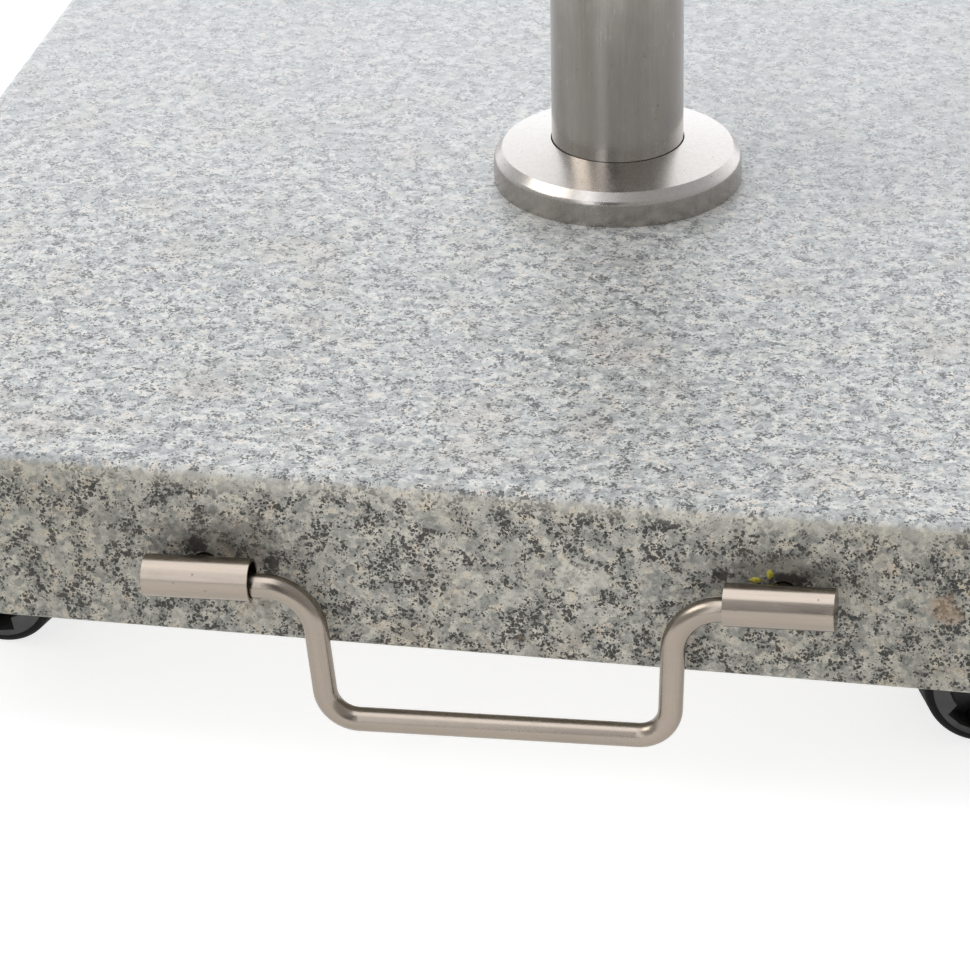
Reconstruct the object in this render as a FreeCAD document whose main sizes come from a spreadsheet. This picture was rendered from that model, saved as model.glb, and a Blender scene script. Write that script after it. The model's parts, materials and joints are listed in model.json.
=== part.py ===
import FreeCAD, Part
import os
import re

import Sketcher

# Parasol base: a granite slab on four swivel castors, with a clamped stainless socket and a fold-out handle.
# +Z is up. The origin is on the pole axis, on the plate that the pole's foot stands on. The handle is at -Y.

DIMENSIONS = {
    # stone
    "slab_width": 500,
    "slab_thickness": 60,
    "slab_corner_radius": 6,
    "slab_top_radius": 4,
    "slab_bottom_radius": 2,
    "anchor_gap": 0.1,
    "anchor_hole_extra": 1,
    "stem_hole_gap": 4,
    "resin_gap": 0.5,
    # socket for the pole
    "flange_radius": 42,
    "flange_thickness": 6,
    "flange_bolt_reach": 34,
    "flange_bolt_radius": 4,
    "flange_bolt_gap": 0.5,
    "flange_bolt_length": 40,
    "flange_bolt_head_radius": 6.5,
    "flange_bolt_head_height": 4.5,
    "flange_anchor_radius": 5.9,
    "flange_anchor_length": 44,
    "tube_radius": 24.15,
    "tube_wall": 2,
    "tube_height": 330,
    "tube_chamfer": 0.4,
    "weld_leg": 2.5,
    "cover_radius": 45.5,
    "cover_rim_height": 9,
    "cover_height": 16,
    "cover_sheet": 1,
    "cover_neck_gap": 0.35,
    "cover_shoulder": 3,
    "cover_shoulder_rise": 3.5,
    "cover_rim_bend": 2.5,
    "cover_inner_step": 0.4,
    "socket_radius": 19.3,
    "sleeve_lip_height": 3,
    "sleeve_lip_radius": 25.2,
    "sleeve_lip_round": 1.2,
    "sleeve_fit_gap": 0.1,
    "pad_window_gap": 0.5,
    # clamp screws
    "lower_clamp_height": 110,
    "upper_clamp_height": 250,
    "boss_radius": 8,
    "boss_reach": 36,
    "boss_root": 20,
    "boss_bore_gap": 0.1,
    "screw_radius": 4,
    "screw_tip_radius": 2.5,
    "screw_tip_reach": 20.4,
    "screw_hole_gap": 0.4,
    "screw_end_gap": 0.3,
    "screw_head_depth": 16,
    "pad_radius": 4.5,
    "pad_thickness": 1.9,
    "pad_face": 1,
    "knob_radius": 24,
    "knob_height": 20,
    "knob_neck_radius": 11,
    "knob_neck_height": 7,
    "knob_neck_taper": 1,
    "knob_back_slope": 2,
    "knob_front_edge": 4,
    "knob_front_round": 5,
    "knob_crown": 1.5,
    "knob_gap": 8,
    "knob_flute_radius": 9,
    "knob_flute_reach": 30,
    "knob_flutes": 6,
    # folding handle
    "handle_tilt": 1.8,
    "handle_height": 28.8,
    "handle_standoff": 8.9,
    "handle_sleeve_radius": 7,
    "handle_sleeve_bore": 6,
    "handle_sleeve_inner": 77.1,
    "handle_sleeve_length": 35.4,
    "handle_rod_radius": 4,
    "handle_rod_sag": 1.9,
    "handle_rod_slide": 1.6,
    "handle_rod_drop": 48.2,
    "handle_leg_top": 59.4,
    "handle_leg_bottom": 56.4,
    "handle_top_bend": 16.5,
    "handle_bottom_bend": 11,
    "handle_cap_thickness": 1.5,
    "handle_cap_gap": 0.05,
    "handle_end_gap": 3,
    "handle_stud_radius": 4,
    "handle_stud_depth": 46,
    # castors
    "castor_x": 170,
    "castor_y": 155,
    "castor_height": 57,
    "castor_trail": 21,
    "castor_plate_width": 42,
    "castor_plate_thickness": 2.5,
    "castor_plate_corner": 5,
    "castor_screw_pitch": 32,
    "castor_screw_radius": 2.5,
    "castor_screw_head": 4.6,
    "castor_screw_gap": 0.1,
    "castor_screw_length": 30,
    "castor_anchor_radius": 4,
    "castor_anchor_length": 34,
    "stem_radius": 4,
    "stem_length": 30,
    "stem_groove_depth": 0.8,
    "stem_groove_height": 1.2,
    "stem_groove_drop": 26,
    "stem_head_reach": 3,
    "stem_head_height": 1,
    "clip_reach": 0.9,
    "clip_gap": 0.1,
    "washer_gap": 0.1,
    "hood_gap": 1.2,
    "hood_web": 8,
    "hood_width": 46,
    "hood_outer_radius": 28.3,
    "hood_inner_radius": 26.2,
    "hood_boss_radius": 6.4,
    "hood_collar_radius": 10,
    "hood_collar_height": 4,
    "hood_boss_drop": 34,
    "hood_hub_wall": 5,
    "hood_web_overlap": 1,
    "hood_bore_extra": 0.5,
    "hood_clip_room": 0.3,
    "hood_fender_start": 48,
    "hood_fender_sweep": 102,
    "hood_web_sweep": 157,
    "wheel_radius": 25,
    "wheel_rim_radius": 22.4,
    "wheel_rim_bore": 19.2,
    "wheel_rim_side": 7.2,
    "wheel_outer_side": 22.8,
    "wheel_hub_radius": 6.6,
    "wheel_hub_side": 4.6,
    "wheel_disc_inner": 9.2,
    "wheel_disc_outer": 12,
    "wheel_lug_radius": 16.5,
    "wheel_lug_side": 21.3,
    "wheel_window_radius": 20.7,
    "wheel_window_angle": 34,
    "wheel_windows": 5,
    "wheel_hub_face": 0.4,
    "wheel_hub_edge": 0.6,
    "wheel_hub_slope": 1.6,
    "wheel_hub_top": 20.5,
    "wheel_hub_crown": 0.6,
    "wheel_lug_slope": 1,
    "wheel_window_overlap": 2,
    "tread_proud": 0.2,
    "tread_inner_round": 1,
    "tread_shoulder": 2.3,
    "axle_radius": 3,
    "axle_length": 36,
    # castor brakes
    "brake_pin_reach": 31,
    "brake_pin_angle": 32,
    "brake_pin_radius": 1.5,
    "brake_pin_length": 24,
    "brake_hub_radius": 3.4,
    "brake_width": 17,
    "brake_ear_radius": 4.4,
    "brake_ear_thickness": 2.4,
    "brake_ear_reach": 11,
    "brake_pedal_length": 16,
    "brake_pedal_thickness": 3,
    "brake_pedal_width": 24,
    "brake_pedal_angle": 18,
    "brake_shoe_gap": 0.35,
    "brake_shoe_sweep": 12,
    "brake_shoe_lead": 8,
    "brake_side_gap": 0.4,
    "brake_neck_length": 4,
    "brake_pedal_gap": 0.6,
    "brake_ear_turn": 120,
    "wheel_room": 0.6,
    "running_gap": 0.05,
    "fit_gap": 0.02,
}

# Each castor's corner and its heading: the way its wheels trail from the swivel axis, in degrees
# from +X towards +Y.
CASTORS = {
    "front_left": (-1, -1, 166),
    "front_right": (1, -1, 202),
    "rear_left": (-1, 1, 112),
    "rear_right": (1, 1, 62),
}
# The turn about the axle at which the wheels of each castor have stopped, in degrees.
WHEEL_TURNS = {
    "front_left": 25,
    "front_right": 53,
    "rear_left": 10,
    "rear_right": 40,
}
BRAKED = ("rear_left", "rear_right")
X_AXIS = FreeCAD.Vector(1, 0, 0)
Y_AXIS = FreeCAD.Vector(0, 1, 0)
Z_AXIS = FreeCAD.Vector(0, 0, 1)

doc = FreeCAD.newDocument("parasol_base")
sheet = doc.addObject("Spreadsheet::Sheet", "Sizes")
for row, (alias, value) in enumerate(DIMENSIONS.items(), start=1):
    sheet.set(f"A{row}", alias)
    sheet.set(f"B{row}", str(value))
    sheet.setAlias(f"B{row}", alias)
doc.recompute()


# ---------------------------------------------------------------- sizes and placement

def bound(expression):
    """The expression with each dimension's name pointed at the sheet."""
    def point(word):
        name = word.group(0)
        return f"Sizes.{name}" if name in DIMENSIONS else name
    return re.sub(r"[a-z_]+", point, expression)


def size(expression):
    return float(sheet.evalExpression(bound(expression)))


def drive(thing, **sizes):
    """Binds properties of a feature to expressions over the sheet."""
    for name, expression in sizes.items():
        thing.setExpression(name, bound(expression))
    return thing


def place(thing, x="0", y="0", z="0", rotation=None):
    """Turns a feature and binds its position to the sheet."""
    if rotation is not None:
        thing.Placement = FreeCAD.Placement(FreeCAD.Vector(), rotation)
    for axis, expression in zip("xyz", (x, y, z)):
        thing.setExpression(f"Placement.Base.{axis}", bound(expression))
    return thing


def frame_at(x, y, z, rotation=None):
    position = FreeCAD.Vector(size(x), size(y), size(z))
    return FreeCAD.Placement(position, rotation or FreeCAD.Rotation())


SLAB_TOP = "-flange_thickness"
SLAB_BOTTOM = "-flange_thickness - slab_thickness"
ALONG_X = FreeCAD.Rotation(Y_AXIS, 90)
ALONG_Y = FreeCAD.Rotation(X_AXIS, -90)
ALONG_MINUS_Y = FreeCAD.Rotation(X_AXIS, 90)


# ---------------------------------------------------------------- part primitives

def cylinder(name, radius, height, angle=None):
    solid = drive(doc.addObject("Part::Cylinder", name), Radius=radius, Height=height)
    if angle is not None:
        drive(solid, Angle=angle)
    return solid


def cone(name, bottom, top, height):
    return drive(doc.addObject("Part::Cone", name), Radius1=bottom, Radius2=top, Height=height)


def box(name, length, width, height):
    return drive(doc.addObject("Part::Box", name), Length=length, Width=width, Height=height)


def fuse(name, *shapes):
    joined = doc.addObject("Part::MultiFuse", name)
    joined.Shapes = list(shapes)
    return joined


def cut(name, base, *tools):
    removed = doc.addObject("Part::Cut", name)
    removed.Base = base
    removed.Tool = tools[0] if len(tools) == 1 else fuse(name + "_tools", *tools)
    return removed


def group(label, solids):
    """Identical fasteners that share one node, each its own solid."""
    together = doc.addObject("Part::Compound", label)
    together.Links = list(solids)
    return node(together, label)


NODES = {}


def node(feature, label):
    """Records a finished sub-part under the name of its file."""
    feature.Label = label
    NODES[label] = feature
    return feature


# ---------------------------------------------------------------- bodies and sketches

def new_body(label):
    return node(doc.addObject("PartDesign::Body", label + "_body"), label)


def origin_plane(body, role):
    return next(part for part in body.Origin.OriginFeatures if part.Role == role)


def new_sketch(body, role, name, offset="0"):
    sketch = body.newObject("Sketcher::SketchObject", f"{body.Label}_{name}")
    sketch.AttachmentSupport = (origin_plane(body, role), [""])
    sketch.MapMode = "FlatFace"
    sketch.setExpression("AttachmentOffset.Base.z", bound(offset))
    return sketch


def fix_point(sketch, edge, end, x, y):
    for kind, expression in (("DistanceX", x), ("DistanceY", y)):
        index = sketch.addConstraint(Sketcher.Constraint(kind, -1, 1, edge, end, size(expression)))
        sketch.setExpression(f"Constraints[{index}]", bound(expression))


def add_outline(sketch, corners):
    """A closed outline of straight lines between corners given as expressions."""
    points = [FreeCAD.Vector(size(x), size(y), 0) for x, y in corners]
    first = sketch.GeometryCount
    count = len(points)
    for index in range(count):
        line = Part.LineSegment(points[index], points[(index + 1) % count])
        sketch.addGeometry(line, False)
    for index in range(count):
        following = first + (index + 1) % count
        sketch.addConstraint(Sketcher.Constraint("Coincident", first + index, 2, following, 1))
    for index, (x, y) in enumerate(corners):
        fix_point(sketch, first + index, 1, x, y)


def add_circle(sketch, x, y, radius):
    centre = FreeCAD.Vector(size(x), size(y), 0)
    edge = sketch.addGeometry(Part.Circle(centre, Z_AXIS, size(radius)), False)
    fix_point(sketch, edge, 3, x, y)
    index = sketch.addConstraint(Sketcher.Constraint("Radius", edge, size(radius)))
    sketch.setExpression(f"Constraints[{index}]", bound(radius))


def pad(body, sketch, length, midplane=False):
    feature = body.newObject("PartDesign::Pad", f"{body.Label}_pad")
    feature.Profile = sketch
    feature.Midplane = midplane
    drive(feature, Length=length)
    doc.recompute()
    return feature


def revolve(body, sketch):
    feature = body.newObject("PartDesign::Revolution", f"{body.Label}_turned")
    feature.Profile = sketch
    feature.ReferenceAxis = (sketch, ["V_Axis"])
    feature.Angle = 360
    doc.recompute()
    return feature


def pocket(body, sketch, depth=None, along_normal=False):
    """Cuts a sketch out of the body, to a depth or right through, and checks that it removed something."""
    before = body.Shape.Volume
    feature = body.newObject("PartDesign::Pocket", f"{body.Label}_pocket")
    feature.Profile = sketch
    feature.Reversed = along_normal
    if depth is None:
        feature.Type = "ThroughAll"
    else:
        drive(feature, Length=depth)
    doc.recompute()
    if not body.Shape.Volume < before:
        raise ValueError(f"{feature.Name} removed nothing")
    return feature


def repeat(body, feature, axis_sketch, count):
    pattern = body.newObject("PartDesign::PolarPattern", f"{feature.Name}_pattern")
    pattern.Originals = [feature]
    pattern.Axis = (axis_sketch, ["N_Axis"])
    pattern.Angle = 360
    drive(pattern, Occurrences=count)
    body.Tip = pattern
    doc.recompute()
    return pattern


def soften(body, kind, radius, chosen):
    """Fillets or chamfers the edges of the body's tip that a test chooses."""
    tip = body.Tip
    edges = [f"Edge{i}" for i, edge in enumerate(tip.Shape.Edges, start=1) if chosen(edge)]
    feature = body.newObject(f"PartDesign::{kind}", f"{body.Label}_{kind.lower()}")
    feature.Base = (tip, edges)
    drive(feature, **{"Radius" if kind == "Fillet" else "Size": radius})
    doc.recompute()
    return feature


def is_level(height):
    """Edges that lie at one height of the body."""
    def test(edge):
        bounds = edge.BoundBox
        return abs(bounds.ZMin - height) < 1e-4 and abs(bounds.ZMax - height) < 1e-4
    return test


def is_ring(radius, height):
    """Round edges about the body's Z axis, of one radius and at one height."""
    def test(edge):
        round_edge = isinstance(edge.Curve, Part.Circle)
        return round_edge and abs(edge.Curve.Radius - radius) < 1e-4 and is_level(height)(edge)
    return test


def is_upright(edge):
    bounds = edge.BoundBox
    return bounds.ZLength > 1e-3 and bounds.XLength < 1e-4 and bounds.YLength < 1e-4


# ---------------------------------------------------------------- stone

def flange_bolt_places():
    """Corners of the square on which the four flange bolts stand."""
    reach = "flange_bolt_reach * cos(45)"
    return [(sx + reach, sy + reach) for sx in ("", "-") for sy in ("", "-")]


def castor_screw_places():
    places = []
    for side_x, side_y, _ in CASTORS.values():
        for sx in (-1, 1):
            for sy in (-1, 1):
                x = f"{side_x} * castor_x + {sx} * castor_screw_pitch / 2"
                y = f"{side_y} * castor_y + {sy} * castor_screw_pitch / 2"
                places.append((x, y))
    return places


def make_slab():
    body = new_body("granite_slab")
    plan = new_sketch(body, "XY_Plane", "plan")
    half = "slab_width / 2"
    minus = "-slab_width / 2"
    add_outline(plan, [(minus, minus), (half, minus), (half, half), (minus, half)])
    pad(body, plan, "slab_thickness")
    soften(body, "Fillet", "slab_corner_radius", is_upright)
    soften(body, "Fillet", "slab_top_radius", is_level(size("slab_thickness")))
    soften(body, "Fillet", "slab_bottom_radius", is_level(0))
    top_holes = new_sketch(body, "XY_Plane", "flange_holes", "slab_thickness")
    for x, y in flange_bolt_places():
        add_circle(top_holes, x, y, "flange_anchor_radius + anchor_gap")
    pocket(body, top_holes, "flange_anchor_length + anchor_hole_extra")
    bottom_holes = new_sketch(body, "XY_Plane", "castor_holes")
    for x, y in castor_screw_places():
        add_circle(bottom_holes, x, y, "castor_anchor_radius + fit_gap")
    for side_x, side_y, _ in CASTORS.values():
        stem_x = f"{side_x} * castor_x"
        stem_y = f"{side_y} * castor_y"
        add_circle(bottom_holes, stem_x, stem_y, "stem_radius + stem_hole_gap")
    pocket(body, bottom_holes, "castor_anchor_length + anchor_hole_extra", along_normal=True)
    front_holes = new_sketch(body, "XZ_Plane", "handle_holes", "slab_width / 2")
    reach = "(handle_sleeve_inner + handle_sleeve_length / 2)"
    for side in (-1, 1):
        x = f"{side} * {reach} * cos(handle_tilt)"
        z = f"handle_height + {side} * {reach} * sin(handle_tilt)"
        add_circle(front_holes, x, z, "handle_stud_radius + resin_gap")
    pocket(body, front_holes, "handle_stud_depth + resin_gap")
    place(body, z=SLAB_BOTTOM)


# ---------------------------------------------------------------- socket

def make_flange():
    body = new_body("base_flange")
    plan = new_sketch(body, "XY_Plane", "plan")
    add_circle(plan, "0", "0", "flange_radius")
    for x, y in flange_bolt_places():
        add_circle(plan, x, y, "flange_bolt_radius + flange_bolt_gap")
    pad(body, plan, "flange_thickness")
    place(body, z=SLAB_TOP)


def make_tube():
    body = new_body("stand_tube")
    wall = new_sketch(body, "XZ_Plane", "wall")
    inner = "tube_radius - tube_wall"
    add_outline(wall, [
        (inner, "0"),
        ("tube_radius + weld_leg", "0"),
        ("tube_radius", "weld_leg"),
        ("tube_radius", "tube_height"),
        (inner, "tube_height"),
    ])
    revolve(body, wall)
    soften(body, "Chamfer", "tube_chamfer", is_ring(size("tube_radius"), size("tube_height")))
    for height in ("lower_clamp_height", "upper_clamp_height"):
        hole = new_sketch(body, "YZ_Plane", height)
        add_circle(hole, "0", height, "screw_radius + screw_hole_gap")
        pocket(body, hole, along_normal=True)


def make_cover():
    body = new_body("flange_cover")
    wall = new_sketch(body, "XZ_Plane", "wall")
    neck = "tube_radius + cover_neck_gap"
    add_outline(wall, [
        ("cover_radius - cover_sheet", "0"),
        ("cover_radius", "0"),
        ("cover_radius", "cover_rim_height"),
        ("cover_radius - cover_shoulder", "cover_rim_height + cover_shoulder_rise"),
        (neck, "cover_height"),
        (neck, "cover_height - cover_sheet"),
        ("cover_radius - cover_shoulder - cover_inner_step",
         "cover_rim_height + cover_shoulder_rise - cover_sheet"),
        ("cover_radius - cover_sheet", "cover_rim_height - cover_inner_step"),
    ])
    revolve(body, wall)
    soften(body, "Fillet", "cover_rim_bend", is_ring(size("cover_radius"), size("cover_rim_height")))
    place(body, z=SLAB_TOP)


def make_flange_fasteners():
    bolts = []
    anchors = []
    for index, (x, y) in enumerate(flange_bolt_places()):
        shank = cylinder(f"flange_shank_{index}", "flange_bolt_radius", "flange_bolt_length")
        place(shank, z="-flange_bolt_length")
        head = drive(
            doc.addObject("Part::Prism", f"flange_head_{index}"),
            Circumradius="flange_bolt_head_radius",
            Height="flange_bolt_head_height",
        )
        head.Polygon = 6
        bolts.append(place(fuse(f"flange_bolt_{index}", shank, head), x, y))
        outside = cylinder(f"flange_anchor_out_{index}", "flange_anchor_radius", "flange_anchor_length")
        bore = cylinder(f"flange_anchor_in_{index}", "flange_bolt_radius + anchor_gap",
                        "flange_anchor_length")
        sleeve = cut(f"flange_anchor_{index}", outside, bore)
        anchors.append(place(sleeve, x, y, SLAB_TOP + " - flange_anchor_length"))
    group("flange_bolts", bolts)
    group("flange_anchors", anchors)


def make_reducer_sleeve():
    body = new_body("reducer_sleeve")
    wall = new_sketch(body, "XZ_Plane", "wall")
    outer = "tube_radius - tube_wall - sleeve_fit_gap"
    lip = "tube_height + sleeve_fit_gap"
    add_outline(wall, [
        ("socket_radius", "0"),
        (outer, "0"),
        (outer, lip),
        ("sleeve_lip_radius", lip),
        ("sleeve_lip_radius", "tube_height + sleeve_lip_height"),
        ("socket_radius", "tube_height + sleeve_lip_height"),
    ])
    revolve(body, wall)
    top = "tube_height + sleeve_lip_height"
    soften(body, "Fillet", "sleeve_lip_round", is_ring(size("sleeve_lip_radius"), size(top)))
    for height in ("lower_clamp_height", "upper_clamp_height"):
        window = new_sketch(body, "YZ_Plane", height)
        add_circle(window, "0", height, "pad_radius + pad_window_gap")
        pocket(body, window, along_normal=True)


def make_clamp(name, height):
    """A welded boss, a screw through it with a knob on its head, and the pad that it presses on the pole."""
    solid = cylinder(f"{name}_boss_solid", "boss_radius", "boss_reach - boss_root")
    place(solid, "boss_root", "0", height, ALONG_X)
    bore = cylinder(f"{name}_boss_bore", "screw_radius + boss_bore_gap", "boss_reach")
    place(bore, "boss_root / 2", "0", height, ALONG_X)
    tube = cylinder(f"{name}_boss_saddle", "tube_radius", "boss_radius * 4")
    place(tube, z=f"{height} - boss_radius * 2")
    node(cut(f"{name}_boss", solid, bore, tube), f"clamp_boss_{name}")

    pad_solid = cylinder(f"{name}_pad_solid", "pad_radius", "pad_thickness")
    place(pad_solid, "screw_tip_reach - pad_face", "0", height, ALONG_X)
    socket = cylinder(f"{name}_pad_socket", "screw_tip_radius + running_gap", "pad_thickness")
    place(socket, "screw_tip_reach - running_gap", "0", height, ALONG_X)
    node(cut(f"{name}_pad", pad_solid, socket), f"clamp_pad_{name}")

    tip_length = "(pad_thickness - pad_face + screw_end_gap)"
    tip = cylinder(f"{name}_screw_tip", "screw_tip_radius", tip_length + " + pad_face")
    place(tip, "screw_tip_reach", "0", height, ALONG_X)
    start = f"screw_tip_reach + {tip_length}"
    knob_face = "boss_reach + knob_gap"
    thread = cylinder(f"{name}_screw_thread", "screw_radius", f"{knob_face} + screw_head_depth - ({start})")
    place(thread, start, "0", height, ALONG_X)
    node(fuse(f"{name}_screw", tip, thread), f"clamp_screw_{name}")

    body = new_body(f"clamp_knob_{name}")
    half = new_sketch(body, "XZ_Plane", "half")
    crown = "knob_neck_height + knob_height"
    add_outline(half, [
        ("screw_radius + fit_gap", "0"),
        ("knob_neck_radius - knob_neck_taper", "0"),
        ("knob_neck_radius", "knob_neck_height"),
        ("knob_radius", "knob_neck_height + knob_back_slope"),
        ("knob_radius", f"{crown} - knob_front_edge"),
        ("knob_radius - knob_front_round", crown),
        ("0", f"{crown} + knob_crown"),
        ("0", "screw_head_depth + screw_end_gap"),
        ("screw_radius + fit_gap", "screw_head_depth + screw_end_gap"),
    ])
    revolve(body, half)
    flutes = new_sketch(body, "XY_Plane", "flutes")
    add_circle(flutes, "knob_flute_reach", "0", "knob_flute_radius")
    flute = pocket(body, flutes, along_normal=True)
    repeat(body, flute, flutes, "knob_flutes")
    place(body, knob_face, "0", height, ALONG_X)


# ---------------------------------------------------------------- folding handle

def handle_frame():
    """The handle's own frame: X along its sleeves, from the middle between them, turned a little."""
    lean = FreeCAD.Rotation(Y_AXIS, -size("handle_tilt"))
    return frame_at("0", "-slab_width / 2 - handle_standoff", SLAB_BOTTOM + " + handle_height", lean)


def on_handle(thing, local):
    thing.Placement = handle_frame().multiply(local)
    return thing


def make_handle_mounts():
    studs = []
    caps = []
    for name, side in (("left", -1), ("right", 1)):
        start = "handle_sleeve_inner" if side > 0 else "-handle_sleeve_inner - handle_sleeve_length"
        outside = cylinder(f"sleeve_{name}_outside", "handle_sleeve_radius", "handle_sleeve_length")
        bore = cylinder(f"sleeve_{name}_bore", "handle_sleeve_bore", "handle_sleeve_length")
        sleeve = cut(f"sleeve_{name}", outside, bore)
        on_handle(sleeve, frame_at(start, "0", "0", ALONG_X))
        node(sleeve, f"handle_sleeve_{name}")

        middle = f"{side} * (handle_sleeve_inner + handle_sleeve_length / 2)"
        stud = cylinder(f"stud_{name}_bar", "handle_stud_radius", "handle_standoff + handle_stud_depth")
        on_handle(stud, frame_at(middle, "0", "0", ALONG_Y))
        saddle = cylinder(f"stud_{name}_saddle", "handle_sleeve_radius + fit_gap", "handle_sleeve_length")
        on_handle(saddle, frame_at(start, "0", "0", ALONG_X))
        studs.append(cut(f"stud_{name}", stud, saddle))

        outer = "(handle_sleeve_inner + handle_sleeve_length - handle_cap_thickness)"
        seat = outer if side > 0 else f"-{outer} - handle_cap_thickness"
        cap = cylinder(f"cap_{name}", "handle_sleeve_bore - handle_cap_gap", "handle_cap_thickness")
        caps.append(on_handle(cap, frame_at(seat, "0", "0", ALONG_X)))
    group("handle_studs", studs)
    group("sleeve_caps", caps)


def make_handle_rod():
    """A bent bar: straight ends in the sleeves, two legs that lean together and a straight grip.

    It rests on the bottom of the sleeves, slid a little to the right.
    """
    body = new_body("handle_rod")
    path = new_sketch(body, "XZ_Plane", "path")
    end = "(handle_sleeve_inner + handle_sleeve_length - handle_cap_thickness - handle_end_gap)"
    corners = [
        (f"-{end}", "0"),
        ("-handle_leg_top", "0"),
        ("-handle_leg_bottom", "-handle_rod_drop"),
        ("handle_leg_bottom", "-handle_rod_drop"),
        ("handle_leg_top", "0"),
        (end, "0"),
    ]
    points = [FreeCAD.Vector(size(x), size(y), 0) for x, y in corners]
    runs = [path.addGeometry(Part.LineSegment(a, b), False) for a, b in zip(points, points[1:])]
    for run, following in zip(runs, runs[1:]):
        path.addConstraint(Sketcher.Constraint("Coincident", run, 2, following, 1))
    for run, (x, y) in zip(runs, corners):
        fix_point(path, run, 1, x, y)
    fix_point(path, runs[-1], 2, *corners[-1])
    bends = ("handle_top_bend", "handle_bottom_bend", "handle_bottom_bend", "handle_top_bend")
    for run, bend in zip(runs, bends):
        arc = path.GeometryCount
        path.fillet(run, 2, size(bend), True, True)
        index = path.addConstraint(Sketcher.Constraint("Radius", arc, size(bend)))
        path.setExpression(f"Constraints[{index}]", bound(bend))
    section = new_sketch(body, "YZ_Plane", "section", f"-{end}")
    add_circle(section, "0", "0", "handle_rod_radius")
    pipe = body.newObject("PartDesign::AdditivePipe", "handle_rod_pipe")
    pipe.Profile = section
    pipe.Spine = path
    doc.recompute()
    on_handle(body, frame_at("handle_rod_slide", "0", "-handle_rod_sag"))


# ---------------------------------------------------------------- castors

def castor_frame(corner):
    """A castor's own frame: the origin on its swivel axis at the stone, X the way the wheels trail."""
    side_x, side_y, heading = CASTORS[corner]
    turn = FreeCAD.Rotation(Z_AXIS, heading)
    return frame_at(f"{side_x} * castor_x", f"{side_y} * castor_y", SLAB_BOTTOM, turn)


def on_castor(thing, corner, local=None):
    thing.Placement = castor_frame(corner).multiply(local or FreeCAD.Placement())
    return thing


AXLE_DROP = "castor_height - wheel_radius"


def make_castor_plate(corner):
    body = new_body(f"castor_plate_{corner}")
    plan = new_sketch(body, "XY_Plane", "plan")
    half = "castor_plate_width / 2"
    minus = "-castor_plate_width / 2"
    add_outline(plan, [(minus, minus), (half, minus), (half, half), (minus, half)])
    add_circle(plan, "0", "0", "stem_radius + fit_gap")
    pitch = "castor_screw_pitch / 2"
    for sx in ("", "-"):
        for sy in ("", "-"):
            add_circle(plan, sx + pitch, sy + pitch, "castor_screw_radius + castor_screw_gap")
    pad(body, plan, "castor_plate_thickness")

    def is_corner(edge):
        return is_upright(edge) and isinstance(edge.Curve, Part.Line)

    soften(body, "Fillet", "castor_plate_corner", is_corner)
    soften(body, "Chamfer", "castor_screw_head - castor_screw_radius - castor_screw_gap",
           is_ring(size("castor_screw_radius + castor_screw_gap"), 0))
    side_x, side_y, _ = CASTORS[corner]
    place(body, f"{side_x} * castor_x", f"{side_y} * castor_y", SLAB_BOTTOM + " - castor_plate_thickness")


def make_castor_fixings():
    """Screws and wall plugs that hold the castor plates, and the stems with their clips and washers."""
    screws = []
    anchors = []
    for index, (x, y) in enumerate(castor_screw_places()):
        shank = cylinder(f"castor_shank_{index}", "castor_screw_radius", "castor_screw_length")
        head = cone(f"castor_head_{index}", "castor_screw_head - castor_screw_gap", "castor_screw_radius",
                    "castor_screw_head - castor_screw_radius - castor_screw_gap")
        screws.append(place(fuse(f"castor_screw_{index}", shank, head), x, y,
                            SLAB_BOTTOM + " - castor_plate_thickness"))
        outside = cylinder(f"castor_plug_out_{index}", "castor_anchor_radius", "castor_anchor_length")
        bore = cylinder(f"castor_plug_in_{index}", "castor_screw_radius + fit_gap", "castor_anchor_length")
        anchors.append(place(cut(f"castor_plug_{index}", outside, bore), x, y, SLAB_BOTTOM))
    group("castor_screws", screws)
    group("castor_anchors", anchors)

    stems = []
    clips = []
    washers = []
    for corner, (side_x, side_y, _) in CASTORS.items():
        x = f"{side_x} * castor_x"
        y = f"{side_y} * castor_y"
        bar = cylinder(f"stem_bar_{corner}", "stem_radius", "stem_length + stem_head_height")
        place(bar, z="-stem_length")
        rivet = cylinder(f"stem_head_{corner}", "stem_radius + stem_head_reach", "stem_head_height")
        ring = place(cylinder(f"stem_ring_{corner}", "stem_radius + stem_groove_depth", "stem_groove_height"),
                     z="-stem_groove_drop")
        core = place(cylinder(f"stem_core_{corner}", "stem_radius - stem_groove_depth", "stem_groove_height"),
                     z="-stem_groove_drop")
        groove = cut(f"stem_groove_{corner}", ring, core)
        stem = cut(f"stem_{corner}", fuse(f"stem_solid_{corner}", bar, rivet), groove)
        stems.append(place(stem, x, y, SLAB_BOTTOM))

        outside = cylinder(f"clip_out_{corner}", "stem_radius + clip_reach",
                           "stem_groove_height - clip_gap * 2")
        inside = cylinder(f"clip_in_{corner}", "stem_radius - stem_groove_depth + fit_gap",
                          "stem_groove_height")
        clip = cut(f"clip_{corner}", outside, inside)
        clips.append(place(clip, x, y, SLAB_BOTTOM + " - stem_groove_drop + clip_gap"))

        disc = cylinder(f"washer_out_{corner}", "hood_collar_radius - washer_gap", "hood_gap - washer_gap")
        hole = cylinder(f"washer_in_{corner}", "stem_radius + washer_gap", "hood_gap")
        washer = cut(f"washer_{corner}", disc, hole)
        washers.append(place(washer, x, y, SLAB_BOTTOM + " - castor_plate_thickness - hood_gap + washer_gap"))
    group("castor_stems", stems)
    group("stem_clips", clips)
    group("thrust_washers", washers)


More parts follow.
